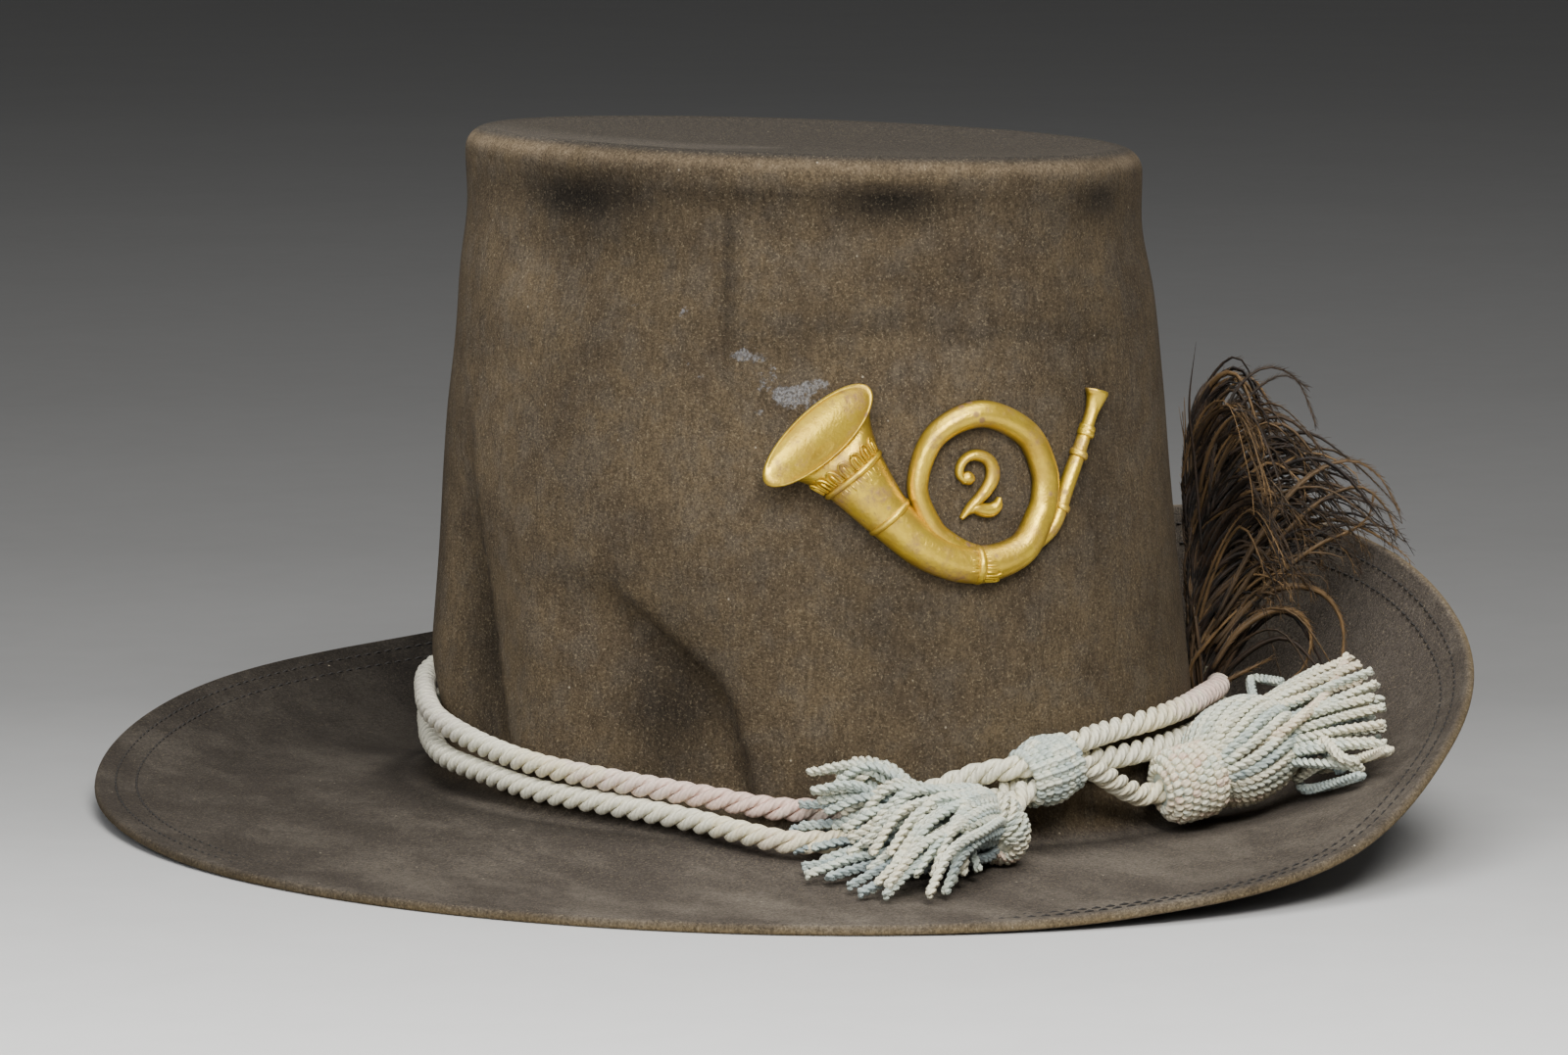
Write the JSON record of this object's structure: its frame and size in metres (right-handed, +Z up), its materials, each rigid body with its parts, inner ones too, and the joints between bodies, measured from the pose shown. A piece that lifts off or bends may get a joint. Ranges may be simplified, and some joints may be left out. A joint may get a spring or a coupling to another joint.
{
  "type": "felt dress hat",
  "caption": "Tall felt dress hat with a wide brim turned up at one side, a twisted cord with slide and tassels, a plume, a brass horn and a brass numeral.",
  "frame": {"origin": "on the surface that the hat stands on, under the middle of the whole hat's box", "axes": "+Z up, the wearer faces -Y, +X towards the wearer's left, where the brim is turned up"},
  "size_m": [0.3012, 0.3668, 0.1648],
  "materials": {
    "felt": "worn dark brown wool felt, matt, with a lighter brown worn edge",
    "cord": "faded cream worsted yarn, twisted and matt",
    "blue_worsted": "faded light blue-green worsted yarn, matt",
    "feather": "dark brown feather barbs with a soft sheen",
    "brass": "aged stamped brass, satin, with dark spots in the hollows"
  },
  "bodies": {
    "root": {"felt_body": "felt", "hat_cord": "cord", "cord_slide": "blue_worsted", "left_tassel_head": "blue_worsted", "left_tassel": "blue_worsted", "right_tassel_head": "cord", "right_tassel": "blue_worsted", "plume": "feather", "horn_badge": "brass", "numeral": "brass"}
  },
  "joints": []
}
